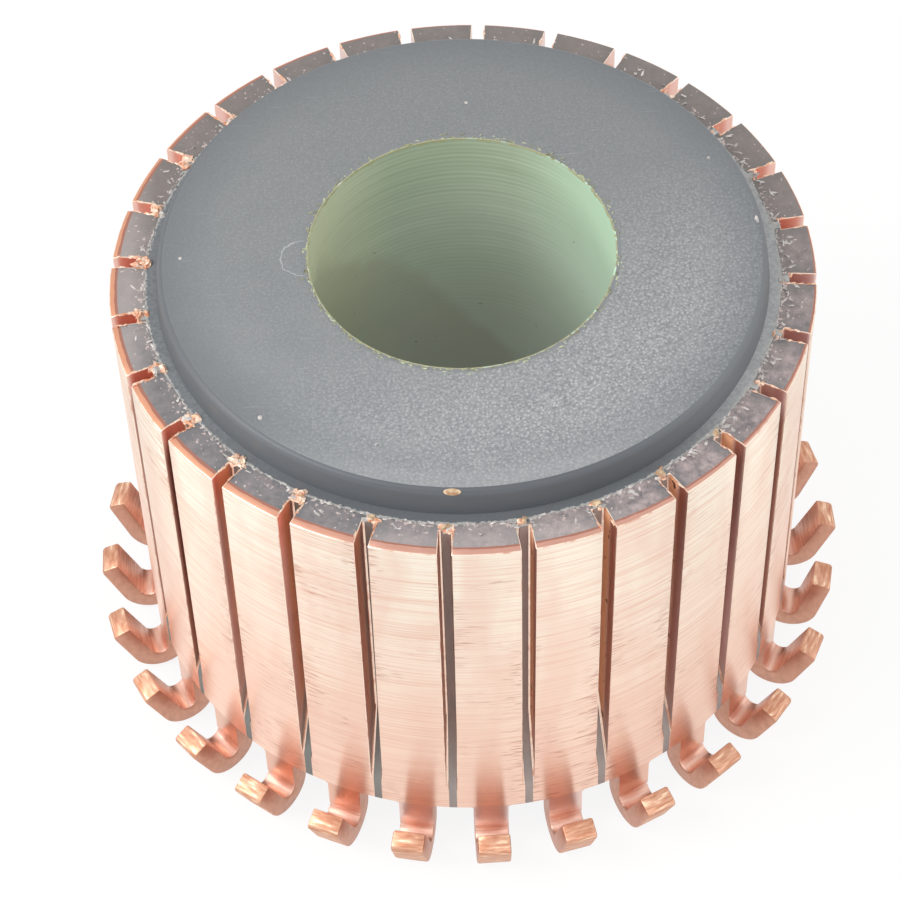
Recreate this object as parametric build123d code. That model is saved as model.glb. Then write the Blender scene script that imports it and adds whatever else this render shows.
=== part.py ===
from build123d import *
from math import cos, radians, sin, tan
import os

# Hook commutator: 28 copper bars round a moulded hub with a sleeved bore.
# The axis is Z, the lower face of the collar lies at z = 0 and the boss is on top.

# Whole part
bar_count = 28
bar_outer_radius = 17.3
bar_length = 21.7
bore_radius = 7.5

# Copper bars
bar_thickness = 1.75
bar_gap = 0.4
edge_bevel_width = 0.25
edge_bevel_slope = 12.0
edge_bevel_shift = 0.2
edge_bevel_shift_angle = 45.0
rib_neck_width = 1.2
rib_foot_width = 1.9
rib_depth = 1.7
rib_end_cover = 2.0

# Saw cuts between the bars
saw_width = 0.64
saw_depth = 1.34
saw_end_height = 1.75
saw_run_out = 4.8

# Tang and hook at the lower end of each bar
hook_width = 1.76
hook_thickness = 1.05
tang_inset = 0.035
tang_length = 1.94
hook_bend_radius = 0.44
hook_bend_angle = 157.0
pressed_hook_angle = 166.0
pressed_hook_bar = 28
hook_leg_length = 2.6
tang_root_chamfer = 0.15

# Moulded hub
ledge_width = 0.55
boss_height = 1.5
boss_chamfer = 0.35
collar_radius = 13.4
collar_below_hooks = 0.2

# Bore sleeve
sleeve_wall = 0.25

# Places that follow from the sizes
pitch_angle = 360.0 / bar_count
bar_back = bar_outer_radius - bar_thickness
boss_radius = bar_back - ledge_width
slot_floor_radius = bar_outer_radius - saw_depth
tang_face = bar_outer_radius - tang_inset
hook_drop = tang_length + hook_bend_radius + hook_thickness
bar_bottom = hook_drop + collar_below_hooks
bar_top = bar_bottom + bar_length
boss_top = bar_top + boss_height
sleeve_radius = bore_radius + sleeve_wall


def turned(solid, angle):
    return Rot(0, 0, angle) * solid


def bar_ring():
    """The ring that is parted into bars and webs."""
    outline = Polyline(
        (boss_radius, bar_bottom),
        (bar_outer_radius, bar_bottom),
        (bar_outer_radius, bar_top),
        (boss_radius, bar_top),
        close=True,
    )
    return revolve(Plane.XZ * make_face(outline), Axis.Z)


def edge_bevel():
    """What is cut off round the bars' top edge: a flat cone that was turned a little off centre."""
    inner = bar_outer_radius - edge_bevel_width
    outer = inner + bar_thickness
    outline = Polyline(
        (inner, bar_top),
        (outer, bar_top - bar_thickness * tan(radians(edge_bevel_slope))),
        (outer, bar_top + bar_thickness),
        (inner, bar_top + bar_thickness),
        close=True,
    )
    cut = revolve(Plane.XZ * make_face(outline), Axis.Z)
    return turned(Pos(edge_bevel_shift, 0, 0) * cut, edge_bevel_shift_angle)


def bar_wedge():
    """The room of one bar, middle on +X: a flat back, and sides parallel to the middle of its slots."""
    half_pitch = radians(pitch_angle / 2)
    far = bar_outer_radius * 1.5

    def side(distance):
        return distance * tan(half_pitch) - bar_gap / 2 / cos(half_pitch)

    outline = Polyline(
        (bar_back, -side(bar_back)),
        (far, -side(far)),
        (far, side(far)),
        (bar_back, side(bar_back)),
        close=True,
    )
    return extrude(Plane.XY.offset(bar_bottom) * make_face(outline), bar_length)


def dovetail_rib():
    """The rib behind the bar, wider at its foot, which the moulding closes round."""
    root = bar_back + bar_thickness / 4
    foot = bar_back - rib_depth
    outline = Polyline(
        (root, -rib_neck_width / 2),
        (bar_back, -rib_neck_width / 2),
        (foot, -rib_foot_width / 2),
        (foot, rib_foot_width / 2),
        (bar_back, rib_neck_width / 2),
        (root, rib_neck_width / 2),
        close=True,
    )
    rib_start = Plane.XY.offset(bar_bottom + rib_end_cover)
    return extrude(rib_start * make_face(outline), bar_length - 2 * rib_end_cover)


def saw_cut():
    """The path of the saw down one slot on +X, with the slope on which the blade leaves the bar."""
    run_out_start = bar_bottom + saw_end_height + saw_run_out
    outline = Polyline(
        (slot_floor_radius, run_out_start),
        (slot_floor_radius, bar_top + saw_depth),
        (bar_outer_radius + saw_depth, bar_top + saw_depth),
        (bar_outer_radius + saw_depth, bar_bottom + saw_end_height - saw_run_out),
        close=True,
    )
    return extrude(Plane.XZ * make_face(outline), saw_width / 2, both=True)


def hook(bend_angle):
    """Tang and hook in one bent strip, its face a touch behind the turned face of the bar."""
    inner_radius = hook_bend_radius
    outer_radius = hook_bend_radius + hook_thickness
    bend_height = bar_bottom - tang_length
    bend_centre = tang_face + inner_radius
    turn = radians(bend_angle)

    def bend_point(radius, angle, leg=0):
        return (
            bend_centre - radius * cos(angle) + leg * sin(angle),
            bend_height - radius * sin(angle) - leg * cos(angle),
        )

    outline = Wire(
        [
            Line((tang_face, bar_bottom), (tang_face - hook_thickness, bar_bottom)),
            Line((tang_face - hook_thickness, bar_bottom), bend_point(outer_radius, 0)),
            ThreePointArc(*[bend_point(outer_radius, turn * share) for share in (0, 0.5, 1)]),
            Line(bend_point(outer_radius, turn), bend_point(outer_radius, turn, hook_leg_length)),
            Line(
                bend_point(outer_radius, turn, hook_leg_length),
                bend_point(inner_radius, turn, hook_leg_length),
            ),
            Line(bend_point(inner_radius, turn, hook_leg_length), bend_point(inner_radius, turn)),
            ThreePointArc(*[bend_point(inner_radius, turn * share) for share in (1, 0.5, 0)]),
            Line(bend_point(inner_radius, 0), (tang_face, bar_bottom)),
        ]
    )
    return extrude(Plane.XZ * make_face(outline), hook_width / 2, both=True)


def tang_root():
    """The small sloping corners where the tang leaves the lower end of the bar."""
    half = hook_width / 2
    outline = Polyline(
        (-half - tang_root_chamfer, bar_bottom),
        (half + tang_root_chamfer, bar_bottom),
        (half, bar_bottom - tang_root_chamfer),
        (-half, bar_bottom - tang_root_chamfer),
        close=True,
    )
    return extrude(Plane.YZ.offset(tang_face - hook_thickness) * make_face(outline), hook_thickness)


def copper_bar(blank, saw, bend_angle):
    """One bar with its hook, middle on +X, with half of each neighbouring slot cut away."""
    bar = blank + hook(bend_angle) + tang_root()
    return bar - turned(saw, pitch_angle / 2) - turned(saw, -pitch_angle / 2)


def moulded_hub(blank, saw):
    """The moulding: core, boss and collar in one, with the webs and the pockets for the bars."""
    profile = Polyline(
        (sleeve_radius, 0),
        (collar_radius, 0),
        (collar_radius, bar_bottom),
        (boss_radius, bar_bottom),
        (boss_radius, boss_top - boss_chamfer),
        (boss_radius - boss_chamfer, boss_top),
        (sleeve_radius, boss_top),
        close=True,
    )
    moulding = revolve(Plane.XZ * make_face(profile), Axis.Z) + bar_ring()
    blanks = [turned(blank, pitch_angle * index) for index in range(bar_count)]
    saws = [turned(saw, pitch_angle * (index + 0.5)) for index in range(bar_count)]
    return moulding - blanks - saws


def bore_sleeve():
    """The thin sleeve that lines the bore from face to face."""
    tube = Cylinder(sleeve_radius, boss_top, align=(Align.CENTER, Align.CENTER, Align.MIN))
    bore = Cylinder(bore_radius, boss_top, align=(Align.CENTER, Align.CENTER, Align.MIN))
    return tube - bore


os.makedirs("parts", exist_ok=True)

saw = saw_cut()
bevel = edge_bevel()
blank = (bar_ring() & bar_wedge()) + dovetail_rib()
plain_bar = copper_bar(blank, saw, hook_bend_angle)
pressed_bar = copper_bar(blank, saw, pressed_hook_angle)

for index in range(bar_count):
    number = index + 1
    bar = pressed_bar if number == pressed_hook_bar else plain_bar
    export_step(turned(bar, pitch_angle * index) - bevel, f"parts/bar_{number:02d}.step")

export_step(moulded_hub(blank, saw), "parts/hub.step")
export_step(bore_sleeve(), "parts/bore_sleeve.step")
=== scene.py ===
import math
import random

import bmesh
import bpy
from mathutils import Matrix, Vector, noise


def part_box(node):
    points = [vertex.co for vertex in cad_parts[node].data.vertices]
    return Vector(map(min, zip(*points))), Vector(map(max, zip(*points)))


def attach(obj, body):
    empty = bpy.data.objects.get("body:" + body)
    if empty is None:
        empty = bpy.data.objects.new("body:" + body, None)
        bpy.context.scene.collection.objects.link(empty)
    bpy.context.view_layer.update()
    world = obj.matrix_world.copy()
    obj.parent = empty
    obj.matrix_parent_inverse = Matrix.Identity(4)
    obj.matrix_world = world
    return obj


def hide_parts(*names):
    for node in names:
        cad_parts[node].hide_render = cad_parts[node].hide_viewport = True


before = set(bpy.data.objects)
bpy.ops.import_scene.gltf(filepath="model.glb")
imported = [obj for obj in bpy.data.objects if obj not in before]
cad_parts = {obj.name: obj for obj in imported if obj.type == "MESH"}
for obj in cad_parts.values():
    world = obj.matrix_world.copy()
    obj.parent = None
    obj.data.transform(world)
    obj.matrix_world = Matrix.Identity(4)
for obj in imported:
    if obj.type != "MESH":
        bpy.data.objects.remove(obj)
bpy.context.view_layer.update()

MM = 0.001

# Copper bars
# Each bar is one piece of drawn electrolytic copper with a tang at its lower end. The bars are
# moulded into the hub as a ring, turned together outside, parted by a slitting saw, and the tangs
# are then bent out and up into hooks. Each tool leaves its own finish, so each face has its own.

bar_names = sorted(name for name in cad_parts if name.startswith("bar_"))
pitch = math.tau / len(bar_names)
bar_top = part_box(bar_names[0])[1].z
bar_bottom = 3.63 * MM
outer_radius = 17.3 * MM
bar_back = 15.55 * MM
slot_floor = 15.96 * MM
end_half_width = 1.55 * MM
face_half_width = 1.63 * MM
bevel_inner_radius = 17.05 * MM
bevel_centre = (0.1414 * MM, 0.1414 * MM, 0)
hook_bend_height = 1.69 * MM
hook_bend_middle = 17.705 * MM
hook_leg_rise = 2.4 * MM
hook_taper = 0.07
hook_edge = 0.11 * MM
bar_edge = 0.045 * MM
tip_round = 0.28 * MM
slack = 0.01 * MM
# Where the tang, the hook, its end, the slot's mouth and the bevel begin
tang_start = bar_bottom - 0.3 * MM
hook_start_radius = outer_radius + 0.1 * MM
hook_leg_end = hook_bend_height + 0.8 * hook_leg_rise
slot_inner_radius = bar_back + 0.2 * MM
slot_low_end = bar_bottom + 1 * MM
bevel_low_edge = bar_top - 0.2 * MM
# Where the surface turns less than this it is shaded smooth
sharp_turn = math.radians(30)


def linear(hex_colour):
    """An sRGB hex colour as the linear values that a shader takes."""
    channels = [int(hex_colour[start : start + 2], 16) / 255 for start in (1, 3, 5)]
    linear_channels = [
        value / 12.92 if value <= 0.04045 else ((value + 0.055) / 1.055) ** 2.4
        for value in channels
    ]
    return (*linear_channels, 1.0)


def add_node(tree, kind, settings=None, links=None):
    """Adds a node with its own and its inputs' values, and links its inputs to nodes or sockets."""
    node = tree.nodes.new(kind)

    def socket(key):
        if isinstance(key, int):
            return node.inputs[key]
        return next(one for one in node.inputs if one.enabled and one.name == key)

    for key, value in (settings or {}).items():
        if isinstance(key, str) and hasattr(node, key):
            setattr(node, key, value)
        else:
            socket(key).default_value = value
    for key, source in (links or {}).items():
        if isinstance(source, bpy.types.Node):
            source = next(one for one in source.outputs if one.enabled)
        tree.links.new(source, socket(key))
    return node


def new_material(name):
    """An empty node material, its tree and its object coordinates."""
    material = bpy.data.materials.new(name)
    material.use_nodes = True
    material.node_tree.nodes.clear()
    place = add_node(material.node_tree, "ShaderNodeTexCoord")
    return material, material.node_tree, place.outputs["Object"]


def grain(size_mm):
    """The mapping scale at which a pattern has the given size in millimetres along X, Y and Z."""
    return [1 / (size * MM) for size in size_mm]


def add_grain(tree, place, size_mm, detail, roughness=0.5):
    """A noise whose grains have the given size in millimetres along X, Y and Z."""
    grain_place = add_node(
        tree, "ShaderNodeMapping", {"Scale": grain(size_mm)}, {"Vector": place}
    )
    return add_node(
        tree, "ShaderNodeTexNoise", {"Scale": 1, "Detail": detail, "Roughness": roughness},
        {"Vector": grain_place},
    )


def shift_colour(tree, under, over, value, start, end, most=1.0):
    """Turns one colour into another, by at most this share, as a value goes from start to end."""
    share = add_node(
        tree, "ShaderNodeMapRange", {"From Min": start, "From Max": end, "To Max": most},
        {"Value": value},
    )
    settings, links = {"data_type": "RGBA"}, {"Factor": share}
    for key, colour in (("A", under), ("B", over)):
        if isinstance(colour, str):
            settings[key] = linear(colour)
        else:
            links[key] = colour
    return add_node(tree, "ShaderNodeMix", settings, links)


def from_axis(tree, place):
    """How far a point lies from the upright axis."""
    flat = add_node(
        tree, "ShaderNodeVectorMath", {"operation": "MULTIPLY", 1: (1, 1, 0)}, {0: place}
    )
    radius = add_node(tree, "ShaderNodeVectorMath", {"operation": "LENGTH"}, {0: flat})
    return radius.outputs["Value"]


def place_in_bar(tree):
    """Where a point lies in its own bar, in millimetres: X outward from the axis, Y sideways."""
    bar_map = add_node(tree, "ShaderNodeUVMap", {"uv_map": "place_on_bar"})
    return add_node(tree, "ShaderNodeSeparateXYZ", None, {"Vector": bar_map})


def finish_material(material, settings, links):
    """Ends a material with its shader."""
    tree = material.node_tree
    shader = add_node(tree, "ShaderNodeBsdfPrincipled", settings, links)
    add_node(tree, "ShaderNodeOutputMaterial", None, {"Surface": shader})
    return material


def turned_copper():
    """Copper turned dry and fast: near mirror, salmon with a painted cream highlight towards the
    top, finely lined, torn in places.
    """
    material, tree, place = new_material("turned_copper")
    fine = add_grain(tree, place, (6, 6, 0.09), 4)
    torn = add_grain(tree, place, (1.3, 1.3, 0.13), 2)
    patch = add_grain(tree, place, (3, 3, 5), 2)
    height = add_node(tree, "ShaderNodeSeparateXYZ", None, {"Vector": place})
    # Painted highlight: each bar turns from salmon to cream towards its top.
    tone = shift_colour(
        tree, "#FAD6C2", "#FEF4E3", height.outputs["Z"], bar_bottom + 2 * MM, bar_top
    )
    brushed = shift_colour(tree, tone, "#E6B099", fine, 0.45, 0.72, 0.6)
    tarnish = add_grain(tree, place, (2.2, 2.2, 7), 2)
    tarnished = shift_colour(tree, brushed, "#F0C3B0", tarnish, 0.42, 0.62, 0.35)
    torn_mask = add_node(
        tree, "ShaderNodeMapRange", {"From Min": 0.6, "From Max": 0.7, "To Max": 0.7},
        {"Value": torn},
    )
    patch_mask = add_node(
        tree, "ShaderNodeMapRange", {"From Min": 0.46, "From Max": 0.62}, {"Value": patch}
    )
    torn_patches = add_node(
        tree, "ShaderNodeMath", {"operation": "MULTIPLY"}, {0: torn_mask, 1: patch_mask}
    )
    lined = add_node(
        tree, "ShaderNodeMix", {"data_type": "RGBA", "B": linear("#C08A74")},
        {"Factor": torn_patches, "A": tarnished},
    )
    on_bar = place_in_bar(tree)
    across = add_node(tree, "ShaderNodeMath", {"operation": "ABSOLUTE"}, {0: on_bar.outputs["Y"]})
    beside_edge = add_node(
        tree, "ShaderNodeMapRange",
        {"From Min": face_half_width / MM - 0.8, "From Max": face_half_width / MM - 0.15},
        {"Value": across},
    )
    tick = add_grain(tree, place, (0.9, 0.9, 0.11), 0)
    tick_mask = add_node(
        tree, "ShaderNodeMapRange", {"From Min": 0.58, "From Max": 0.66, "To Max": 0.6},
        {"Value": tick},
    )
    edge_ticks = add_node(
        tree, "ShaderNodeMath", {"operation": "MULTIPLY"}, {0: tick_mask, 1: beside_edge}
    )
    ticks = add_node(
        tree, "ShaderNodeMath", {"operation": "MULTIPLY"}, {0: edge_ticks, 1: patch_mask}
    )
    colour = add_node(
        tree, "ShaderNodeMix", {"data_type": "RGBA", "B": linear("#B98574")},
        {"Factor": ticks, "A": lined},
    )
    bump = add_node(
        tree, "ShaderNodeBump", {"Strength": 0.25, "Distance": 0.01 * MM}, {"Height": fine}
    )
    upright = add_node(tree, "ShaderNodeCombineXYZ", {"Z": 1.0})
    return finish_material(
        material, {"Metallic": 1.0, "Roughness": 0.31, "Anisotropic": 0.88},
        {"Base Color": colour, "Normal": bump, "Tangent": upright},
    )


def sawn_copper():
    """Slot walls: copper rubbed smooth and mauve by the saw, redder and browner at the sides by
    painted reflection and shade, and a rough pitted foot in front painted orange as light.
    """
    material, tree, place = new_material("sawn_copper")
    marks = add_grain(tree, place, (0.5, 0.5, 5), 3)
    tone = add_node(
        tree, "ShaderNodeMix",
        {"data_type": "RGBA", "A": linear("#E8CDC4"), "B": linear("#DAC2BC")}, {"Factor": marks},
    )
    sides = add_node(tree, "ShaderNodeSeparateXYZ", None, {"Vector": place})
    off_middle = add_node(
        tree, "ShaderNodeMath", {"operation": "ABSOLUTE"}, {0: sides.outputs["X"]}
    )
    # Painted reflection: the walls of the slots at the sides are redder near the top.
    at_sides = add_node(
        tree, "ShaderNodeMapRange", {"From Min": 5 * MM, "From Max": 12 * MM}, {"Value": off_middle}
    )
    at_top = add_node(
        tree, "ShaderNodeMapRange", {"From Min": bar_top - 4 * MM, "From Max": bar_top - 1 * MM},
        {"Value": sides.outputs["Z"]},
    )
    painted_reflection_mask = add_node(
        tree, "ShaderNodeMath", {"operation": "MULTIPLY"}, {0: at_sides, 1: at_top}
    )
    redder = add_node(
        tree, "ShaderNodeMix", {"data_type": "RGBA", "B": linear("#E9BCAF")},
        {"Factor": painted_reflection_mask, "A": tone},
    )
    right = add_node(
        tree, "ShaderNodeVectorMath", {"operation": "DOT_PRODUCT", 1: (0.85, -0.5, 0)}, {0: place}
    )
    mauver = shift_colour(tree, redder, "#D9C2BE", right.outputs["Value"], 13 * MM, 15 * MM, 0.85)
    # Painted shade: the walls of the outermost slots are browner below the top.
    outermost = add_node(
        tree, "ShaderNodeMapRange", {"From Min": 12.5 * MM, "From Max": 14.2 * MM, "To Max": 0.85},
        {"Value": off_middle},
    )
    below_top = add_node(
        tree, "ShaderNodeMapRange", {"From Min": bar_top - 1 * MM, "From Max": bar_top - 2.5 * MM},
        {"Value": sides.outputs["Z"]},
    )
    deep_painted_shade_mask = add_node(
        tree, "ShaderNodeMath", {"operation": "MULTIPLY"}, {0: outermost, 1: below_top}
    )
    deep_painted_shade = add_node(
        tree, "ShaderNodeMix", {"data_type": "RGBA", "B": linear("#AC7F70")},
        {"Factor": deep_painted_shade_mask, "A": mauver},
    )
    on_bar = place_in_bar(tree)
    # Painted light: at the front, the deep foot of each wall that faces left is orange where the
    # lamp lights it; the foot is also rougher, less metallic and pitted.
    foot = add_node(
        tree, "ShaderNodeMapRange",
        {"From Min": slot_floor / MM + 0.75, "From Max": slot_floor / MM + 0.45},
        {"Value": on_bar.outputs["X"]},
    )
    one_side = add_node(
        tree, "ShaderNodeMath", {"operation": "LESS_THAN", 1: 0.0}, {0: on_bar.outputs["Y"]}
    )
    at_front = add_node(
        tree, "ShaderNodeMapRange", {"From Min": -8 * MM, "From Max": -11 * MM},
        {"Value": sides.outputs["Y"]},
    )
    front_side = add_node(
        tree, "ShaderNodeMath", {"operation": "MULTIPLY"}, {0: one_side, 1: at_front}
    )
    foot_mask = add_node(
        tree, "ShaderNodeMath", {"operation": "MULTIPLY"}, {0: foot, 1: front_side}
    )
    painted_light_foot = add_node(
        tree, "ShaderNodeMix", {"data_type": "RGBA", "B": linear("#F3B98F")},
        {"Factor": foot_mask, "A": deep_painted_shade},
    )
    pit = add_grain(tree, place, (0.45, 0.45, 0.6), 1)
    pit_mask = add_node(
        tree, "ShaderNodeMapRange", {"From Min": 0.66, "From Max": 0.7}, {"Value": pit}
    )
    pits = add_node(tree, "ShaderNodeMath", {"operation": "MULTIPLY"}, {0: pit_mask, 1: foot_mask})
    colour = add_node(
        tree, "ShaderNodeMix", {"data_type": "RGBA", "B": linear("#6B4338")},
        {"Factor": pits, "A": painted_light_foot},
    )
    dullness = add_node(
        tree, "ShaderNodeMapRange", {"To Min": 0.3, "To Max": 0.8}, {"Value": foot_mask}
    )
    rubbed = add_node(
        tree, "ShaderNodeMapRange", {"To Min": 1.0, "To Max": 0.4}, {"Value": foot_mask}
    )
    bump = add_node(
        tree, "ShaderNodeBump", {"Strength": 0.2, "Distance": 0.01 * MM}, {"Height": marks}
    )
    return finish_material(
        material, None,
        {"Base Color": colour, "Metallic": rubbed, "Roughness": dullness, "Normal": bump},
    )


def moulded_end_copper():
    """Bar ends: copper dulled in the mould, mottled slate and mauve, flecked with torn flash."""
    material, tree, place = new_material("moulded_end_copper")
    mottle = add_grain(tree, place, (0.5, 0.5, 0.5), 7, 0.7)
    tone = shift_colour(tree, "#716D70", "#CBB9B7", mottle, 0.3, 0.7)
    on_bar = place_in_bar(tree)
    across = add_node(tree, "ShaderNodeMath", {"operation": "ABSOLUTE"}, {0: on_bar.outputs["Y"]})
    darker_ends = shift_colour(tree, tone, "#6D7073", across, 0.7, 1.55, 0.7)
    sides = add_node(tree, "ShaderNodeSeparateXYZ", None, {"Vector": place})
    # Painted reflection: the end faces of the back bars are darker and browner.
    back_painted_reflection = shift_colour(
        tree, darker_ends, "#827B77", sides.outputs["Y"], -13 * MM, 6 * MM, 0.85
    )
    front_left = add_node(
        tree, "ShaderNodeVectorMath", {"operation": "DOT_PRODUCT", 1: (-0.7, -0.7, 0)}, {0: place}
    )
    slate_left = shift_colour(
        tree, back_painted_reflection, "#75777B", front_left.outputs["Value"], 9 * MM, 15 * MM, 0.6
    )
    nearest_side = add_node(
        tree, "ShaderNodeMath", {"operation": "MINIMUM"},
        {0: sides.outputs["X"], 1: sides.outputs["Y"]},
    )
    paler = shift_colour(tree, slate_left, "#C4BAB7", nearest_side, -15 * MM, -16.3 * MM, 0.45)
    inner = add_node(
        tree, "ShaderNodeMapRange",
        {"From Min": bar_back / MM + 0.7, "From Max": bar_back / MM + 0.1, "To Max": 0.09},
        {"Value": on_bar.outputs["X"]},
    )
    fleck = add_grain(tree, place, (0.2, 0.2, 0.2), 2)
    more_flecks = add_node(tree, "ShaderNodeMath", {"operation": "ADD"}, {0: fleck, 1: inner})
    flecked = shift_colour(tree, paler, "#DECBC5", more_flecks, 0.67, 0.73, 0.85)
    corner_in = add_node(
        tree, "ShaderNodeMath", {"operation": "SUBTRACT", 0: bar_back / MM + 0.3},
        {1: on_bar.outputs["X"]},
    )
    corner_side = add_node(
        tree, "ShaderNodeMath", {"operation": "SUBTRACT", 1: end_half_width / MM - 0.3}, {0: across}
    )
    corner_in_above = add_node(
        tree, "ShaderNodeMath", {"operation": "MAXIMUM", 1: 0.0}, {0: corner_in}
    )
    corner_side_above = add_node(
        tree, "ShaderNodeMath", {"operation": "MAXIMUM", 1: 0.0}, {0: corner_side}
    )
    corner = add_node(
        tree, "ShaderNodeCombineXYZ", None, {"X": corner_in_above, "Y": corner_side_above}
    )
    corner_reach = add_node(tree, "ShaderNodeVectorMath", {"operation": "LENGTH"}, {0: corner})
    colour = shift_colour(tree, flecked, "#7C8081", corner_reach.outputs["Value"], 0.27, 0.3)
    bump = add_node(
        tree, "ShaderNodeBump", {"Strength": 0.4, "Distance": 0.03 * MM}, {"Height": mottle}
    )
    return finish_material(
        material, {"Metallic": 0.35, "Roughness": 0.5}, {"Base Color": colour, "Normal": bump}
    )


def bevelled_copper():
    """The turned bevel round the top: a salmon band, warmer at the left by painted light, stained
    darker along its inner edge.
    """
    material, tree, place = new_material("bevelled_copper")
    marks = add_grain(tree, place, (1.2, 1.2, 0.05), 3)
    tone = add_node(
        tree, "ShaderNodeMix",
        {"data_type": "RGBA", "A": linear("#DDAC9B"), "B": linear("#CC9686")}, {"Factor": marks},
    )
    sides = add_node(tree, "ShaderNodeSeparateXYZ", None, {"Vector": place})
    # Painted light: the band is warmer orange at the left.
    left = add_node(
        tree, "ShaderNodeMapRange", {"From Min": -5 * MM, "From Max": -13 * MM, "To Max": 0.8},
        {"Value": sides.outputs["X"]},
    )
    warmer = add_node(
        tree, "ShaderNodeMix", {"data_type": "RGBA", "B": linear("#E6A583")},
        {"Factor": left, "A": tone},
    )
    from_centre = add_node(
        tree, "ShaderNodeVectorMath", {"operation": "SUBTRACT", 1: bevel_centre}, {0: place}
    )
    reach = from_axis(tree, from_centre)
    wander = add_grain(tree, place, (0.7, 0.7, 0.7), 3)
    line_start = add_node(
        tree, "ShaderNodeMath",
        {"operation": "MULTIPLY_ADD", 1: 0.07 * MM, 2: bevel_inner_radius + 0.02 * MM}, {0: left},
    )
    line_end = add_node(
        tree, "ShaderNodeMath", {"operation": "MULTIPLY_ADD", 1: 0.14 * MM},
        {0: wander, 2: line_start},
    )
    line = add_node(tree, "ShaderNodeMath", {"operation": "LESS_THAN"}, {0: reach, 1: line_end})
    colour = add_node(
        tree, "ShaderNodeMix", {"data_type": "RGBA", "B": linear("#B37E6E")},
        {"Factor": line, "A": warmer},
    )
    return finish_material(material, {"Metallic": 1.0, "Roughness": 0.35}, {"Base Color": colour})


def burnished_copper():
    """The bars' rounded corners, burnished bright: they catch the light as thin cream lines."""
    material, tree, place = new_material("burnished_copper")
    wear = add_grain(tree, place, (0.6, 0.6, 0.9), 3)
    tone = shift_colour(tree, "#FFE9D6", "#DDA890", wear, 0.5, 0.7)
    return finish_material(material, {"Metallic": 1.0, "Roughness": 0.3}, {"Base Color": tone})


def bent_copper():
    """Broad faces of tang and hook: drawn strip, stretched and lined in the bend, warmer at the
    sides by painted reflection, browner below by painted shade.
    """
    material, tree, place = new_material("bent_copper")
    lines = add_grain(tree, place, (1.6, 1.6, 0.1), 3)
    tone = add_node(
        tree, "ShaderNodeMix",
        {"data_type": "RGBA", "A": linear("#F5E2DD"), "B": linear("#E6CDC8")}, {"Factor": lines},
    )
    height = add_node(tree, "ShaderNodeSeparateXYZ", None, {"Vector": place})
    off_middle = add_node(
        tree, "ShaderNodeMath", {"operation": "ABSOLUTE"}, {0: height.outputs["X"]}
    )
    # Painted reflection: the faces are warmer towards the sides.
    warmer = shift_colour(tree, tone, "#EDC0AA", off_middle, 3 * MM, 8 * MM)
    in_bend = add_node(
        tree, "ShaderNodeMapRange",
        {"From Min": hook_bend_height + 0.5 * MM, "From Max": hook_bend_height - 0.1 * MM},
        {"Value": height.outputs["Z"]},
    )
    radius = from_axis(tree, place)
    on_leg = add_node(
        tree, "ShaderNodeMapRange",
        {"From Min": outer_radius + 0.1 * MM, "From Max": outer_radius + 0.4 * MM},
        {"Value": radius},
    )
    worked = add_node(tree, "ShaderNodeMath", {"operation": "MAXIMUM"}, {0: in_bend, 1: on_leg})
    bend_tone = shift_colour(tree, "#F4D1C0", "#E2B5A4", lines, 0.4, 0.6)
    colour = add_node(
        tree, "ShaderNodeMix", {"data_type": "RGBA"},
        {"Factor": worked, "A": warmer, "B": bend_tone},
    )
    # Painted shade: faces that look down are browner.
    facing = add_node(tree, "ShaderNodeNewGeometry")
    looks = add_node(tree, "ShaderNodeSeparateXYZ", None, {"Vector": facing.outputs["True Normal"]})
    painted_shade_below = shift_colour(tree, colour, "#A9796A", looks.outputs["Z"], -0.2, -0.8, 0.8)
    dullness = add_node(
        tree, "ShaderNodeMapRange", {"To Min": 0.3, "To Max": 0.5}, {"Value": worked}
    )
    ridge = add_node(tree, "ShaderNodeMath", {"operation": "MULTIPLY"}, {0: lines, 1: worked})
    bump = add_node(
        tree, "ShaderNodeBump", {"Strength": 0.45, "Distance": 0.03 * MM}, {"Height": ridge}
    )
    return finish_material(
        material, {"Metallic": 1.0},
        {"Base Color": painted_shade_below, "Roughness": dullness, "Normal": bump},
    )


def sheared_copper():
    """The sides of tang and hook, sheared from the strip: brown-mauve, dull, with drag marks."""
    material, tree, place = new_material("sheared_copper")
    drag = add_grain(tree, place, (0.3, 0.3, 0.5), 5)
    tone = add_node(
        tree, "ShaderNodeMix",
        {"data_type": "RGBA", "A": linear("#DDA890"), "B": linear("#B4826D")}, {"Factor": drag},
    )
    bump = add_node(
        tree, "ShaderNodeBump", {"Strength": 0.4, "Distance": 0.02 * MM}, {"Height": drag}
    )
    return finish_material(
        material, {"Metallic": 1.0, "Roughness": 0.42}, {"Base Color": tone, "Normal": bump}
    )


def cropped_copper():
    """The hooks' cropped tips: freshly torn copper, bright orange, with long level tears whose
    ridges carry a painted highlight.
    """
    material, tree, place = new_material("cropped_copper")
    tear = add_grain(tree, place, (0.9, 0.9, 0.075), 4)
    tone = shift_colour(tree, "#E2B499", "#C58C70", tear, 0.4, 0.62)
    # Painted highlight: pale lines along the ridges of the tears.
    painted_highlight_ridges = shift_colour(tree, tone, "#FCE3C4", tear, 0.4, 0.34, 0.8)
    bump = add_node(
        tree, "ShaderNodeBump", {"Strength": 0.6, "Distance": 0.04 * MM}, {"Height": tear}
    )
    return finish_material(
        material, {"Metallic": 1.0, "Roughness": 0.5}, {"Base Color": painted_highlight_ridges, "Normal": bump}
    )


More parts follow.
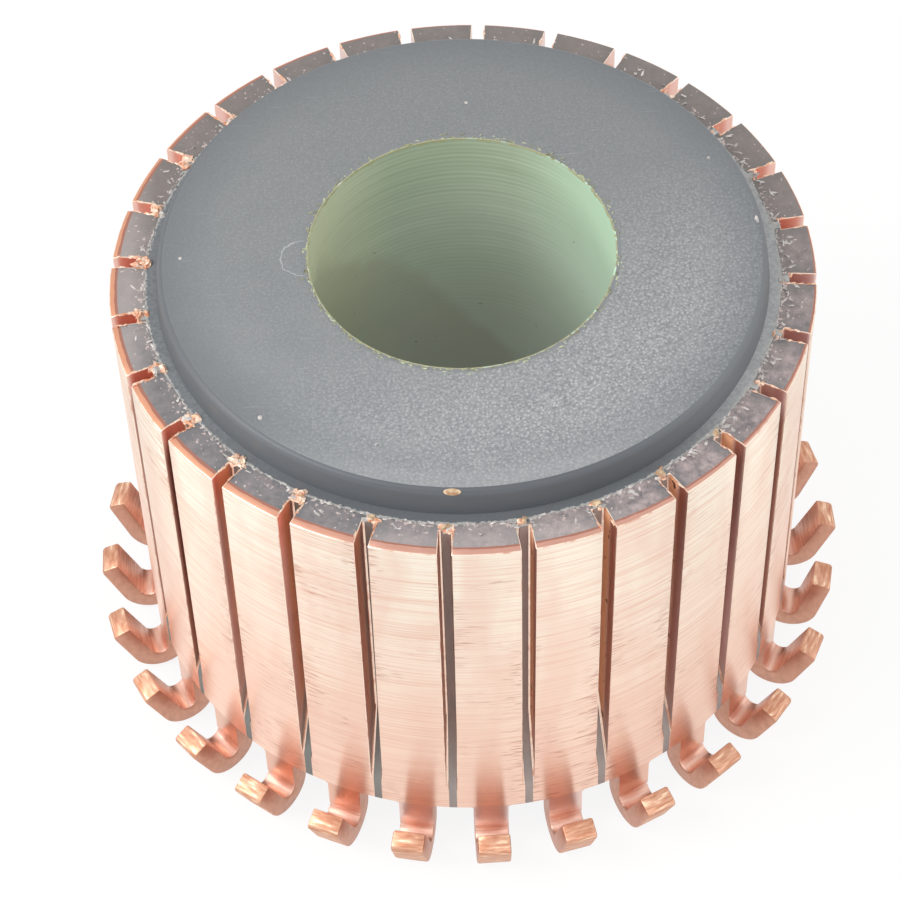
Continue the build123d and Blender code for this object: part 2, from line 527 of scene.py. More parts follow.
def merged_copy(solid):
    """A CAD solid's surface as a bmesh with its loose triangles joined into whole faces."""
    surface = bmesh.new()
    surface.from_mesh(solid.data)
    weld_distance = 0.0005 * MM
    bmesh.ops.remove_doubles(surface, verts=surface.verts, dist=weld_distance)
    flat_turn = math.radians(0.5)
    bmesh.ops.dissolve_limit(
        surface, angle_limit=flat_turn, verts=surface.verts, edges=surface.edges
    )
    return surface


def soften(surface, edges, radius, segments=2):
    """Rounds the given edges and returns the new faces."""
    return bmesh.ops.bevel(
        surface, geom=edges, offset=radius, offset_type="OFFSET", segments=segments, profile=0.5,
        affect="EDGES", clamp_overlap=True, material=-1,
    )["faces"]


def sharp_edges(surface, wanted):
    """The edges where the surface turns sharply and whose two ends pass the test."""
    return [
        edge
        for edge in surface.edges
        if len(edge.link_faces) == 2
        and edge.calc_face_angle() > sharp_turn
        and all(wanted(vert.co) for vert in edge.verts)
    ]


def shade(surface):
    """Smooth shading over gentle turns, with the edges that are left sharp kept sharp."""
    for face in surface.faces:
        face.smooth = True
    for edge in surface.edges:
        edge.smooth = len(edge.link_faces) == 2 and edge.calc_face_angle() < sharp_turn


def finish_piece(name, surface, materials):
    """Makes the bmesh an object of the part that rides with it."""
    data = bpy.data.meshes.new(name)
    surface.to_mesh(data)
    surface.free()
    for material in materials:
        data.materials.append(material)
    piece = bpy.data.objects.new(name, data)
    bpy.context.scene.collection.objects.link(piece)
    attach(piece, "root")
    return piece


copper_finishes = [
    turned_copper(),
    sawn_copper(),
    moulded_end_copper(),
    bevelled_copper(),
    burnished_copper(),
    bent_copper(),
    sheared_copper(),
    cropped_copper(),
]
RUNNING, SLOT_WALL, END_FACE, BEVEL, CORNER, HOOK_FACE, HOOK_SIDE, HOOK_TIP = range(8)

# The cosines by which a face counts as looking some way
STRAIGHT_ON = 0.9
OUTWARD = 0.93
LEVEL = 0.995
LEG_END_UP = 0.8
LEG_BACK_DOWN = -0.1


def copper_finish_of(face, outward, sideways):
    """Which tool made this face of a bar, from where it lies and where it looks."""
    centre = face.calc_center_median()
    facing_out = face.normal.dot(outward)
    facing_up = face.normal.z
    if centre.z < bar_bottom - slack or centre.dot(outward) > hook_start_radius:
        if abs(face.normal.dot(sideways)) > STRAIGHT_ON:
            return HOOK_SIDE
        end_of_leg = centre.z > hook_leg_end and facing_up > LEG_END_UP
        looks_back_down = facing_out > STRAIGHT_ON and facing_up < LEG_BACK_DOWN
        back_of_leg = centre.z > hook_bend_height and looks_back_down
        return HOOK_TIP if end_of_leg or back_of_leg else HOOK_FACE
    if facing_out > OUTWARD:
        return RUNNING
    if facing_up > STRAIGHT_ON and centre.z > bevel_low_edge:
        return END_FACE if facing_up > LEVEL else BEVEL
    return SLOT_WALL


for number, bar_name in enumerate(bar_names):
    outward = Vector((math.cos(number * pitch), math.sin(number * pitch), 0))
    sideways = Vector((-outward.y, outward.x, 0))
    surface = merged_copy(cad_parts[bar_name])
    for vert in surface.verts:
        above_bend = vert.co.z - hook_bend_height
        if above_bend > 0 and vert.co.dot(outward) > hook_bend_middle:
            vert.co -= sideways * vert.co.dot(sideways) * hook_taper * above_bend / hook_leg_rise
    for face in surface.faces:
        face.material_index = copper_finish_of(face, outward, sideways)
    hook_tip = max(vert.co.dot(outward) for vert in surface.verts)
    outer_tip_edges = [
        edge
        for edge in surface.edges
        if all(vert.co.dot(outward) > hook_tip - slack for vert in edge.verts)
    ]
    soften(surface, outer_tip_edges, tip_round, segments=3)
    hook_edges = sharp_edges(
        surface, lambda point: point.z < tang_start or point.dot(outward) > hook_start_radius
    )
    soften(surface, hook_edges, hook_edge)
    slot_mouth_edges = sharp_edges(
        surface,
        lambda point: point.to_2d().length > slot_inner_radius and point.z > slot_low_end,
    )
    for face in soften(surface, slot_mouth_edges, bar_edge):
        face.material_index = CORNER
    place_on_bar = surface.loops.layers.uv.new("place_on_bar")
    for face in surface.faces:
        for loop in face.loops:
            point = loop.vert.co
            loop[place_on_bar].uv = (point.dot(outward) / MM, point.dot(sideways) / MM)
    shade(surface)
    bar = finish_piece(f"copper_{bar_name}", surface, copper_finishes)
    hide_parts(bar_name)

# Hub
# One moulding of dark grey filled phenolic, pressed round the ring of bars. The face of the boss is
# ground flat and pale, the shoulder and ledge keep the darker moulded skin, and the saw has run
# through the webs between the bars.

boss_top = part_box("hub")[1].z
boss_radius = 15.0 * MM
bore_radius = 7.5 * MM
shoulder_reach = 0.5 * MM
shoulder_draft = 0.14 * MM
shoulder_drop = 0.1 * MM
shoulder_round = 0.2 * MM
web_start_radius = boss_radius + 0.65 * MM
level_within = 0.05 * MM
hair_middle = (-7.75 * MM, 0.1 * MM, boss_top)


def ground_moulding():
    """The boss's ground face: phenolic with its filler laid bare, matt, speckled and scratched,
    with painted sheen to the front, a painted highlight band along its front edge and painted shade
    towards its other edges.
    """
    material, tree, place = new_material("ground_moulding")
    sides = add_node(tree, "ShaderNodeSeparateXYZ", None, {"Vector": place})
    radius = from_axis(tree, place)
    # Painted sheen: the face is paler towards the front.
    tone = shift_colour(tree, "#808383", "#909395", sides.outputs["Y"], 12 * MM, -13 * MM)
    cloud = add_grain(tree, place, (2.5, 2.5, 2.5), 3)
    clouded = shift_colour(tree, tone, "#7C8084", cloud, 0.4, 0.7, 0.35)
    # Painted highlight: a pale band near the edge at the front.
    band = add_node(
        tree, "ShaderNodeMapRange",
        {"From Min": boss_radius - 1.5 * MM, "From Max": boss_radius - 1.1 * MM, "To Max": 0.3},
        {"Value": radius},
    )
    away = add_node(
        tree, "ShaderNodeMapRange", {"From Min": -13.5 * MM, "From Max": -9.5 * MM},
        {"Value": sides.outputs["Y"]},
    )
    near = add_node(tree, "ShaderNodeMath", {"operation": "SUBTRACT", 0: 1.0}, {1: away})
    highlight_band_share = add_node(tree, "ShaderNodeMath", {"operation": "MULTIPLY"}, {0: band, 1: near})
    painted_highlight_band = add_node(
        tree, "ShaderNodeMix", {"data_type": "RGBA", "B": linear("#AFB1B4")},
        {"Factor": highlight_band_share, "A": clouded},
    )
    # Painted shade: darker towards the edge, except at the front.
    edge = add_node(
        tree, "ShaderNodeMapRange",
        {"From Min": boss_radius - 2.8 * MM, "From Max": boss_radius - 0.35 * MM, "To Max": 0.9},
        {"Value": radius},
    )
    edge_shade_share = add_node(tree, "ShaderNodeMath", {"operation": "MULTIPLY"}, {0: edge, 1: away})
    painted_edge_shade = add_node(
        tree, "ShaderNodeMix", {"data_type": "RGBA", "B": linear("#73777B")},
        {"Factor": edge_shade_share, "A": painted_highlight_band},
    )
    dust = add_grain(tree, place, (0.13, 0.13, 0.13), 4, 0.7)
    fibre_place = add_node(
        tree, "ShaderNodeMapping", {"Scale": grain((0.21, 0.21, 0.21))}, {"Vector": place}
    )
    fibre = add_node(
        tree, "ShaderNodeTexVoronoi", {"voronoi_dimensions": "2D", "Scale": 1},
        {"Vector": fibre_place},
    )
    fibre_end = add_node(
        tree, "ShaderNodeMapRange", {"From Min": 0.36, "From Max": 0.1},
        {"Value": fibre.outputs["Distance"]},
    )
    some_ends = add_node(
        tree, "ShaderNodeMath", {"operation": "MULTIPLY"}, {0: fibre_end, 1: fibre.outputs["Color"]}
    )
    speckle = add_node(
        tree, "ShaderNodeMath", {"operation": "MULTIPLY_ADD", 1: 0.5}, {0: some_ends, 2: dust}
    )
    front_right = add_node(
        tree, "ShaderNodeVectorMath", {"operation": "DOT_PRODUCT", 1: (0.55, -0.83, 0)}, {0: place}
    )
    speckle_share = add_node(
        tree, "ShaderNodeMapRange",
        {"From Min": 1 * MM, "From Max": 11 * MM, "To Min": 0.1, "To Max": 0.55},
        {"Value": front_right.outputs["Value"]},
    )
    inner_area = add_node(
        tree, "ShaderNodeMapRange",
        {"From Min": boss_radius - 0.5 * MM, "From Max": boss_radius - 4 * MM, "To Min": 0.35},
        {"Value": radius},
    )
    speckle_there = add_node(
        tree, "ShaderNodeMath", {"operation": "MULTIPLY"}, {0: speckle_share, 1: inner_area}
    )
    speckle_tone = shift_colour(tree, "#727578", "#E6E7E6", speckle, 0.34, 0.8)
    speckled = add_node(
        tree, "ShaderNodeMix", {"data_type": "RGBA"},
        {"Factor": speckle_there, "A": painted_edge_shade, "B": speckle_tone},
    )
    scratch_place = add_node(
        tree, "ShaderNodeMapping",
        {"Rotation": (0, 0, math.radians(25)), "Scale": grain((3, 0.06, 3))}, {"Vector": place},
    )
    scratch = add_node(
        tree, "ShaderNodeTexNoise", {"Scale": 1, "Detail": 1}, {"Vector": scratch_place}
    )
    scratched = shift_colour(tree, speckled, "#C5C8CA", scratch, 0.74, 0.78, 0.4)
    from_hair = add_node(
        tree, "ShaderNodeVectorMath", {"operation": "SUBTRACT", 1: hair_middle}, {0: place}
    )
    wave = add_grain(tree, place, (0.6, 0.6, 0.6), 2)
    hair_reach = add_node(tree, "ShaderNodeVectorMath", {"operation": "LENGTH"}, {0: from_hair})
    wavy_reach = add_node(
        tree, "ShaderNodeMath", {"operation": "MULTIPLY_ADD", 1: 0.5 * MM},
        {0: wave, 2: hair_reach.outputs["Value"]},
    )
    hair_line = add_node(
        tree, "ShaderNodeMath", {"operation": "COMPARE", 1: 1.35 * MM, 2: 0.025 * MM},
        {0: wavy_reach},
    )
    hair_side = add_node(
        tree, "ShaderNodeMath", {"operation": "LESS_THAN", 1: hair_middle[0] + 0.1 * MM},
        {0: sides.outputs["X"]},
    )
    hair = add_node(tree, "ShaderNodeMath", {"operation": "MULTIPLY"}, {0: hair_line, 1: hair_side})
    colour = add_node(
        tree, "ShaderNodeMix", {"data_type": "RGBA", "B": linear("#B4B7B9")},
        {"Factor": hair, "A": scratched},
    )
    bump = add_node(
        tree, "ShaderNodeBump", {"Strength": 0.25, "Distance": 0.02 * MM}, {"Height": speckle}
    )
    return finish_material(material, {"Roughness": 0.6}, {"Base Color": colour, "Normal": bump})


def moulded_skin():
    """The skin that the mould left: dark slate grey and smoother, with a soft sheen; lighter to the
    right by painted light, darker at the front by painted shade.
    """
    material, tree, place = new_material("moulded_skin")
    cloud = add_grain(tree, place, (2.5, 2.5, 0.4), 4)
    tone = add_node(
        tree, "ShaderNodeMix",
        {"data_type": "RGBA", "A": linear("#696D71"), "B": linear("#73777B")}, {"Factor": cloud},
    )
    sides = add_node(tree, "ShaderNodeSeparateXYZ", None, {"Vector": place})
    # Painted light: the skin is lighter towards the right and darker towards the left.
    painted_light_side = shift_colour(tree, "#5C6064", "#868A8D", sides.outputs["X"], -14 * MM, 14 * MM)
    lit = add_node(
        tree, "ShaderNodeMix", {"data_type": "RGBA", "Factor": 0.5}, {"A": tone, "B": painted_light_side}
    )
    # Painted shade: the skin is darker at the front.
    colour = shift_colour(tree, lit, "#5F6368", sides.outputs["Y"], -10 * MM, -14 * MM)
    return finish_material(material, {"Roughness": 0.45}, {"Base Color": colour})


def crushed_moulding():
    """The ledge, where the flash broke away: grey and grainy phenolic, palest at the right by
    painted light and darker at the front by painted shade.
    """
    material, tree, place = new_material("crushed_moulding")
    grains = add_grain(tree, place, (0.18, 0.18, 0.18), 4)
    sides = add_node(tree, "ShaderNodeSeparateXYZ", None, {"Vector": place})
    grain_mask = add_node(
        tree, "ShaderNodeMapRange", {"From Min": 0.35, "From Max": 0.7}, {"Value": grains}
    )
    common = add_node(
        tree, "ShaderNodeMix",
        {"data_type": "RGBA", "A": linear("#787C80"), "B": linear("#8B8F92")},
        {"Factor": grain_mask},
    )
    pale = add_node(
        tree, "ShaderNodeMix",
        {"data_type": "RGBA", "A": linear("#B7B9BA"), "B": linear("#D1D2D2")},
        {"Factor": grain_mask},
    )
    # Painted light: the ledge is paler towards the right.
    paler = shift_colour(tree, common, pale, sides.outputs["X"], 3 * MM, 11 * MM)
    # Painted shade: the ledge is darker at the front, in the shade of the boss's wall.
    tone = shift_colour(tree, paler, "#63676B", sides.outputs["Y"], -8 * MM, -13 * MM, 0.85)
    radius = from_axis(tree, place)
    ragged_edge = add_node(
        tree, "ShaderNodeMath", {"operation": "MULTIPLY_ADD", 1: 0.3 * MM},
        {0: grains, 2: radius},
    )
    flashed = shift_colour(
        tree, tone, "#CBC9C5", ragged_edge, bar_back + 0.06 * MM, bar_back + 0.1 * MM, 0.7
    )
    bump = add_node(
        tree, "ShaderNodeBump", {"Strength": 0.4, "Distance": 0.04 * MM}, {"Height": grains}
    )
    return finish_material(material, {"Roughness": 0.75}, {"Base Color": flashed, "Normal": bump})


def sawn_moulding():
    """The webs, cut by the saw: matt grey phenolic, warmed by copper dust, greener at the left."""
    material, tree, place = new_material("sawn_moulding")
    dust = add_grain(tree, place, (0.25, 0.25, 1.5), 3)
    tone = add_node(
        tree, "ShaderNodeMix",
        {"data_type": "RGBA", "A": linear("#938A88"), "B": linear("#B0A29B")}, {"Factor": dust},
    )
    sides = add_node(tree, "ShaderNodeSeparateXYZ", None, {"Vector": place})
    greener = shift_colour(tree, tone, "#626A68", sides.outputs["X"], -1 * MM, -7 * MM, 0.8)
    return finish_material(material, {"Roughness": 0.6}, {"Base Color": greener})


hub_finishes = [ground_moulding(), moulded_skin(), crushed_moulding(), sawn_moulding()]
FACE, SKIN, LEDGE, WEB = range(4)


def hub_finish_of(face):
    """Which finish this face of the moulding has, from where it lies."""
    centre = face.calc_center_median()
    if face.normal.z > STRAIGHT_ON and centre.z > boss_top - level_within:
        return FACE
    if centre.to_2d().length > web_start_radius and centre.z > bar_bottom:
        return WEB
    if face.normal.z > STRAIGHT_ON and centre.z > bar_top - level_within:
        return LEDGE
    return SKIN


def in_shoulder(point):
    """Whether the point lies at the sloping corner between the boss's face and its side."""
    high_enough = point.z > boss_top - shoulder_reach
    return high_enough and point.to_2d().length > boss_radius - shoulder_reach


surface = merged_copy(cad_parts["hub"])
for face in surface.faces:
    face.material_index = hub_finish_of(face)
for vert in surface.verts:
    if in_shoulder(vert.co) and vert.co.z < boss_top - shoulder_drop:
        vert.co *= (boss_radius - shoulder_draft) / boss_radius
        vert.co.z = boss_top - shoulder_draft - shoulder_drop
soften(surface, sharp_edges(surface, in_shoulder), shoulder_round, segments=3)
shade(surface)
hub = finish_piece("moulded_hub", surface, hub_finishes)
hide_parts("hub")

# Torn flash and burrs
# Where the saw ran out over the ring it pushed up crumbs of copper and moulding at the inner end of
# each slot, and a thin ragged flash of moulding follows the inner edge of every bar.


def torn_surface(name, dark, light, patch_mm, detail, shine):
    """A broken surface in two tones that change over patches of the given size."""
    material, tree, place = new_material(name)
    patches = add_grain(tree, place, (patch_mm, patch_mm, patch_mm), detail)
    tone = shift_colour(tree, dark, light, patches, 0.35, 0.65)
    return finish_material(material, shine, {"Base Color": tone})


torn_finishes = [
    # Copper crumbs: freshly torn, peach and rough
    torn_surface(
        "torn_copper", "#FFEAD6", "#DE9C78", 0.25, 3, {"Metallic": 0.5, "Roughness": 0.5}
    ),
    # Crumbs and flash of moulding: broken phenolic, grey to off-white, matt
    torn_surface("torn_moulding", "#B4AFAB", "#E9E3DF", 0.4, 2, {"Roughness": 0.7}),
    # Lumps of moulding that the hot saw pushed up: tan with honey-coloured patches, half glossy
    torn_surface("scorched_moulding", "#B08560", "#EAD2B0", 0.3, 3, {"Roughness": 0.45}),
]
COPPER, MOULDING, SCORCHED = range(3)

slot_half_width_mm = 0.34
slot_edge_mm = 0.35
sliver = 0.05 * MM
burr = 0.06 * MM
flash_per_bar = 14
# The one mesh through which every crumb passes on its way into its piece
crumb_data = bpy.data.meshes.new("one_crumb")


def add_crumb(surface, place, size, turn, chance, finish):
    """One crumpled lump: a small ball pushed in and out, stretched and turned."""
    crumb = bmesh.new()
    bmesh.ops.create_icosphere(crumb, subdivisions=2, radius=0.5)
    dent_depth, dents_across, lean_spread = 1.1, 2.8, 0.4
    offset = Vector([chance.uniform(-50, 50) for _ in range(3)])
    for vert in crumb.verts:
        vert.co *= 1 + dent_depth * noise.noise(vert.co * dents_across + offset)
    bmesh.ops.scale(crumb, vec=size, verts=crumb.verts)
    lean = Matrix.Rotation(chance.gauss(0, lean_spread), 3, "X")
    lie = Matrix.Rotation(turn, 3, "Z") @ lean
    bmesh.ops.rotate(crumb, cent=(0, 0, 0), matrix=lie, verts=crumb.verts)
    bmesh.ops.translate(crumb, vec=place, verts=crumb.verts)
    for face in crumb.faces:
        face.material_index = finish
    crumb.to_mesh(crumb_data)
    crumb.free()
    surface.from_mesh(crumb_data)


def on_ring(radius, angle, height):
    """A point by its distance from the axis, its angle and its height."""
    return Vector((radius * math.cos(angle), radius * math.sin(angle), height))


chance = random.Random(28)
surface = bmesh.new()
for number in range(len(bar_names)):
    slot_angle = (number + 0.5) * pitch
    outward = Vector((math.cos(slot_angle), math.sin(slot_angle), 0))
    sideways = Vector((-outward.y, outward.x, 0))
    leftness = max(0.0, -outward.x)
    frontness = max(0.0, -outward.y)
    # Crumbs where the saw entered each slot, more and larger at the left
    for _ in range(round(4 + 5 * leftness)):
        along = chance.uniform(15.5, 16.05) * MM
        across = max(-slot_half_width_mm, min(slot_half_width_mm, chance.gauss(0, 0.2))) * MM
        width = chance.uniform(0.2, 0.36 + 0.3 * leftness + 0.1 * frontness) * MM
        size = (width, width * chance.uniform(0.4, 0.9), width * chance.uniform(0.25, 0.5))
        finish = COPPER if chance.random() < 0.4 + 0.5 * leftness + 0.2 * frontness else MOULDING
        place = outward * along + sideways * across + Vector((0, 0, bar_top))
        add_crumb(surface, place, size, chance.uniform(0, math.tau), chance, finish)
    # A scorched lump at the inner end of each front slot
    if frontness > 0.6:
        block = chance.uniform(0.3, 0.42) * MM
        place = outward * chance.uniform(15.6, 15.8) * MM + Vector((0, 0, bar_top))
        add_crumb(surface, place, (block, block * 1.2, block * 0.6), slot_angle, chance, SCORCHED)
    # Burrs along the two edges of each slot at the sides
    for _ in range(round(14 * leftness + 5 * max(0.0, outward.x))):
        along = chance.uniform(15.7, 17.0) * MM
        across = chance.choice((-1, 1)) * chance.gauss(slot_edge_mm, 0.02) * MM
        size = (chance.uniform(0.2, 0.5) * MM, chance.uniform(0.06, 0.13) * MM, burr)
        place = outward * along + sideways * across + Vector((0, 0, bar_top))
        add_crumb(surface, place, size, slot_angle + chance.gauss(0, 0.1), chance, COPPER)

for number in range(len(bar_names)):
    outward = Vector((math.cos(number * pitch), math.sin(number * pitch), 0))
    sideways = Vector((-outward.y, outward.x, 0))
    # Ragged flash along the inner edge of each bar
    for _ in range(flash_per_bar):
        along = bar_back + chance.gauss(0.02, 0.04) * MM
        across = chance.uniform(-1.5, 1.5) * MM
        size = (chance.uniform(0.06, 0.13) * MM, chance.uniform(0.1, 0.4) * MM, sliver)
        place = outward * along + sideways * across + Vector((0, 0, bar_top))
        add_crumb(surface, place, size, number * pitch + chance.gauss(0, 0.15), chance, MOULDING)
    # Slivers of flash on the bars' ends, more at the right
    for _ in range(2 + round(8 * max(0.0, outward.x))):
        along = bar_back + (0.1 + abs(chance.gauss(0.1, 0.35))) * MM
        across = chance.uniform(-1.4, 1.4) * MM
        size = (chance.uniform(0.08, 0.15) * MM, chance.uniform(0.2, 0.55) * MM, burr)
        place = outward * along + sideways * across + Vector((0, 0, bar_top))
        add_crumb(surface, place, size, chance.uniform(0, math.tau), chance, MOULDING)

# Slivers on the boss face: radius in mm, degrees, height, width and length in mm, finish
hub_specks = (
    (14.53, 3.3, boss_top, 0.16, 0.5, MOULDING),
    (12.70, 248.0, boss_top, 0.12, 0.4, MOULDING),
    (14.55, 302.5, boss_top - 0.05 * MM, 0.09, 0.4, MOULDING),
)
for radius, degrees, height, width, length, finish in hub_specks:
    angle = math.radians(degrees)
    place = on_ring(radius * MM, angle, height)
    add_crumb(surface, place, (width * MM, length * MM, sliver), angle, chance, finish)

# Dust on the boss face and the tan fleck on its shoulder: radius in mm, degrees, height, tilt in
# degrees, half its length each way in mm, finish
hub_dust = (
    (13.69, 177.8, boss_top, 0, (0.1, 0.1, 0.05), MOULDING),
    (13.98, 224.2, boss_top, 0, (0.13, 0.13, 0.08), MOULDING),
    (10.03, 85.1, boss_top, 0, (0.09, 0.09, 0.05), MOULDING),
    (13.65, 22.3, boss_top, 0, (0.08, 0.08, 0.04), MOULDING),
    (14.77, 264.6, boss_top - 0.12 * MM, 45, (0.17, 0.42, 0.05), SCORCHED),
)
for radius, degrees, height, tilt, half_sizes, finish in hub_dust:
    angle = math.radians(degrees)
    place = Matrix.Translation(on_ring(radius * MM, angle, height))
    lie = Matrix.Rotation(angle, 4, "Z") @ Matrix.Rotation(math.radians(tilt), 4, "Y")
    grain_verts = bmesh.ops.create_icosphere(
        surface, subdivisions=2, radius=MM,
        matrix=place @ lie @ Matrix.Diagonal((*half_sizes, 1)),
    )["verts"]
    for face in {face for vert in grain_verts for face in vert.link_faces}:
        face.material_index = finish
finish_piece("torn_flash_and_burrs", surface, torn_finishes)

# Bore sleeve
# A thin wound tube of green glass-fibre laminate that lines the bore and keeps the shaft apart from
# the bars. It was reamed to size and ground off with the face, which left a ragged olive rim.


def glass_fibre():
    """Pale green laminate, reamed: fine rings, a satin sheen, a painted shadow at the lower left,
    and a ground grey end.
    """
    material, tree, place = new_material("reamed_glass_fibre")
    sides = add_node(tree, "ShaderNodeSeparateXYZ", None, {"Vector": place})
    rings = add_grain(tree, place, (8, 8, 0.2), 3)
    feed_place = add_node(
        tree, "ShaderNodeMapping", {"Scale": grain((5, 5, 0.3))}, {"Vector": place}
    )
    # At this scale a wave texture repeats once for each unit of the mapping
    feed = add_node(
        tree, "ShaderNodeTexWave",
        {"bands_direction": "Z", "Scale": math.tau / 20, "Distortion": 1.5, "Detail Scale": 1},
        {"Vector": feed_place},
    )
    feed_and_rings = add_node(
        tree, "ShaderNodeMath", {"operation": "MULTIPLY_ADD", 1: 0.3},
        {0: feed.outputs["Fac"], 2: rings},
    )
    tone = shift_colour(tree, "#A9B79F", "#C2CFB8", feed_and_rings, 0.35, 0.95)
    lit_right = shift_colour(tree, tone, "#CDEBCF", sides.outputs["X"], 3 * MM, 7.3 * MM)
    deeper = shift_colour(
        tree, lit_right, "#D6DAD6", sides.outputs["Z"], boss_top - 1 * MM, boss_top - 14 * MM, 0.75
    )
    ochre = shift_colour(tree, deeper, "#F1EDCA", sides.outputs["X"], -3 * MM, -7.4 * MM, 0.6)
    # Painted shadow: a soft darker patch at the lower left of the bore.
    low_left = add_node(
        tree, "ShaderNodeVectorMath", {"operation": "DOT_PRODUCT", 1: (-0.8, 0.1, -0.6)}, {0: place}
    )
    shadow_wander = add_grain(tree, place, (3, 3, 3), 2)
    shadow_edge = add_node(
        tree, "ShaderNodeMath", {"operation": "MULTIPLY_ADD", 1: 2 * MM},
        {0: shadow_wander, 2: low_left.outputs["Value"]},
    )
    painted_shadow = shift_colour(tree, ochre, "#ADA594", shadow_edge, -7.3 * MM, -6.6 * MM, 0.35)
    fringe = add_grain(tree, place, (0.5, 0.5, 0.5), 4)
    rim = add_node(
        tree, "ShaderNodeMapRange",
        {"From Min": boss_top - 0.3 * MM, "From Max": boss_top - 0.02 * MM},
        {"Value": sides.outputs["Z"]},
    )
    ragged = add_node(
        tree, "ShaderNodeMath", {"operation": "MULTIPLY_ADD", 1: 0.45, 2: -0.2}, {0: rim}
    )
    ragged_rim = add_node(tree, "ShaderNodeMath", {"operation": "ADD"}, {0: ragged, 1: fringe})
    rimmed = shift_colour(tree, painted_shadow, "#B5B38C", ragged_rim, 0.62, 0.68)
    radius = from_axis(tree, place)
    ground = add_node(
        tree, "ShaderNodeMapRange",
        {
            "From Min": bore_radius + 0.02 * MM, "From Max": bore_radius + 0.1 * MM,
            "To Min": -0.2, "To Max": 0.3,
        },
        {"Value": radius},
    )
    ragged_ground = add_node(tree, "ShaderNodeMath", {"operation": "ADD"}, {0: ground, 1: fringe})
    colour = shift_colour(tree, rimmed, "#898C8E", ragged_ground, 0.52, 0.56)
    bump = add_node(
        tree, "ShaderNodeBump", {"Strength": 0.3, "Distance": 0.01 * MM}, {"Height": rings}
    )
    return finish_material(material, {"Roughness": 0.42}, {"Base Color": colour, "Normal": bump})


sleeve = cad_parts["bore_sleeve"]
sleeve.data.materials.clear()
sleeve.data.materials.append(glass_fibre())

# Fibres that the grinding left standing at the rim: resin-coated glass, pale to olive
torn_fibre = torn_surface("torn_fibre", "#8E8A6A", "#CDD6B2", 0.5, 2, {"Roughness": 0.5})
fibre_count = 300
surface = bmesh.new()
for _ in range(fibre_count):
    angle = chance.uniform(0, math.tau)
    width = chance.uniform(0.04, 0.09) * MM
    along = bore_radius + width / 2 + abs(chance.gauss(0, 0.14)) * MM
    place = on_ring(along, angle, boss_top)
    size = (width, chance.uniform(0.08, 0.3) * MM, sliver)
    add_crumb(surface, place, size, angle + chance.gauss(0, 0.3), chance, 0)
bpy.data.meshes.remove(crumb_data)
finish_piece("torn_fibres", surface, [torn_fibre])

# Studio
# A white floor under a white surround, one large soft lamp high on the left, a weak one in front
# and small low ones at both sides, and the camera where the photographer stood.

floor_radius = 1.5
floor_surface = bmesh.new()
bmesh.ops.create_circle(floor_surface, cap_ends=True, segments=96, radius=floor_radius)
floor_data = bpy.data.meshes.new("floor")
floor_surface.to_mesh(floor_data)
floor_surface.free()
floor = bpy.data.objects.new("floor", floor_data)
bpy.context.scene.collection.objects.link(floor)


def shows_background(tree):
    """1 for rays that show the background: seen directly, mirrored or through glass."""
    ray = add_node(tree, "ShaderNodeLightPath")
    seen_or_mirrored = add_node(
        tree, "ShaderNodeMath", {"operation": "MAXIMUM"},
        {0: ray.outputs["Is Camera Ray"], 1: ray.outputs["Is Glossy Ray"]},
    )
    return add_node(
        tree, "ShaderNodeMath", {"operation": "MAXIMUM"},
        {0: seen_or_mirrored, 1: ray.outputs["Is Transmission Ray"]},
    )


# White paper that takes the part's faint shadow and glows white to the camera and in the copper
floor_material, tree, _ = new_material("paper_floor")
shown = shows_background(tree)
paper = add_node(tree, "ShaderNodeBsdfDiffuse", {"Color": linear("#EEEEEE")})
faint_paper = add_node(tree, "ShaderNodeBsdfDiffuse", {"Color": linear("#666666")})
glow = add_node(tree, "ShaderNodeEmission", {"Color": linear("#FFFFFF"), "Strength": 0.88})
shadowed_glow = add_node(tree, "ShaderNodeAddShader", None, {0: faint_paper, 1: glow})
floor_shader = add_node(tree, "ShaderNodeMixShader", None, {0: shown, 1: paper, 2: shadowed_glow})
add_node(tree, "ShaderNodeOutputMaterial", None, {"Surface": floor_shader})
floor_data.materials.append(floor_material)

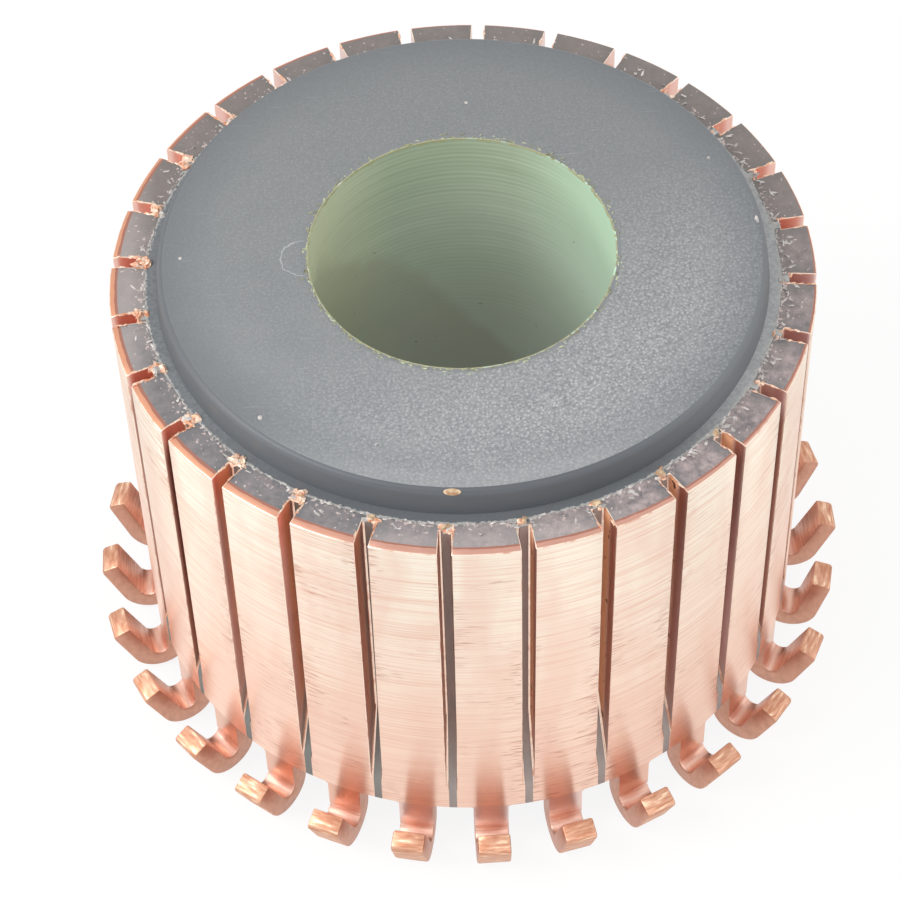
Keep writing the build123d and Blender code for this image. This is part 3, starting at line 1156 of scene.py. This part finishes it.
world = bpy.data.worlds.new("surround")
bpy.context.scene.world = world
world.use_nodes = True
tree = world.node_tree
tree.nodes.clear()
shown = shows_background(tree)
level = add_node(tree, "ShaderNodeMapRange", {"To Min": 0.62, "To Max": 1.0}, {"Value": shown})
surround = add_node(tree, "ShaderNodeBackground", {"Color": linear("#FFFFFF")}, {"Strength": level})
add_node(tree, "ShaderNodeOutputWorld", None, {"Surface": surround})


def soft_lamp(name, place_mm, side_mm, watts):
    """A square soft lamp that looks at the middle of the part."""
    data = bpy.data.lights.new(name, "AREA")
    data.size = side_mm * MM
    data.energy = watts
    lamp = bpy.data.objects.new(name, data)
    lamp.location = Vector(place_mm) * MM
    aim = Vector((0, 0, bar_top)) - lamp.location
    lamp.rotation_euler = aim.to_track_quat("-Z", "Y").to_euler()
    bpy.context.scene.collection.objects.link(lamp)


soft_lamp("key_lamp", (-330, -90, 330), 260, 1.1)
soft_lamp("front_lamp", (160, -320, 260), 200, 0.25)
soft_lamp("left_lamp", (-420, -30, 110), 60, 0.22)
soft_lamp("right_lamp", (420, -60, 110), 60, 0.12)

camera_data = bpy.data.cameras.new("camera")
camera_data.sensor_width = 36.0
camera_data.lens = 121.76
camera_data.clip_start = 0.01
camera = bpy.data.objects.new("camera", camera_data)
camera_turn = math.radians(-2.58)
camera_elevation = math.radians(48.18)
camera_distance = 149.33 * MM
off_centre_turn = math.radians(0.32)
off_centre_tilt = math.radians(3.37)
camera_roll = math.radians(1.50)
camera.matrix_world = (
    Matrix.Translation((0, 0, bar_top))
    @ Matrix.Rotation(camera_turn, 4, "Z")
    @ Matrix.Rotation(math.radians(90) - camera_elevation, 4, "X")
    @ Matrix.Translation((0, 0, camera_distance))
    @ Matrix.Rotation(off_centre_turn, 4, "Y")
    @ Matrix.Rotation(-off_centre_tilt, 4, "X")
    @ Matrix.Rotation(-camera_roll, 4, "Z")
)
bpy.context.scene.collection.objects.link(camera)
bpy.context.scene.camera = camera
bpy.context.scene.view_settings.view_transform = "Standard"
